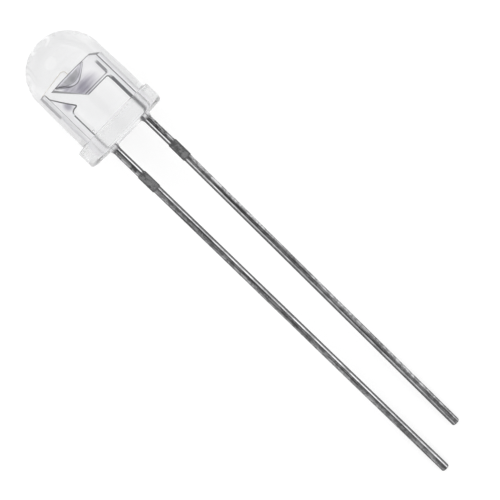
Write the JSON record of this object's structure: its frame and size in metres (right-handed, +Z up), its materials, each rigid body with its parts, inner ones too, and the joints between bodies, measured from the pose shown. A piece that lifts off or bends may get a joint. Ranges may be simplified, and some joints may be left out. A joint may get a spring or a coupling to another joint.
{
  "type": "through hole led",
  "caption": "Round clear light-emitting diode with a domed lens, a flange with one flat, a reflector cup, and two long straight leads of unequal length.",
  "frame": {"origin": "middle of the flange's underside, the seating face, midway between the two leads", "axes": "+Z up with the part lying at rest; +X along the part towards the dome, the lens axis rising 5.9 degrees from +X; +Y towards the anode, the longer lead"},
  "size_m": [0.0338, 0.0056, 0.0059],
  "materials": {
    "clear_resin": "polished",
    "tinned_steel": "satin",
    "chip_crystal": "polished",
    "silver_adhesive": "matte",
    "gold_wire": "polished"
  },
  "bodies": {
    "root": {"lens_body": "clear_resin", "anode_lead": "tinned_steel", "cathode_lead": "tinned_steel", "led_chip": "chip_crystal", "chip_adhesive": "silver_adhesive", "bond_wire": "gold_wire"}
  },
  "joints": []
}
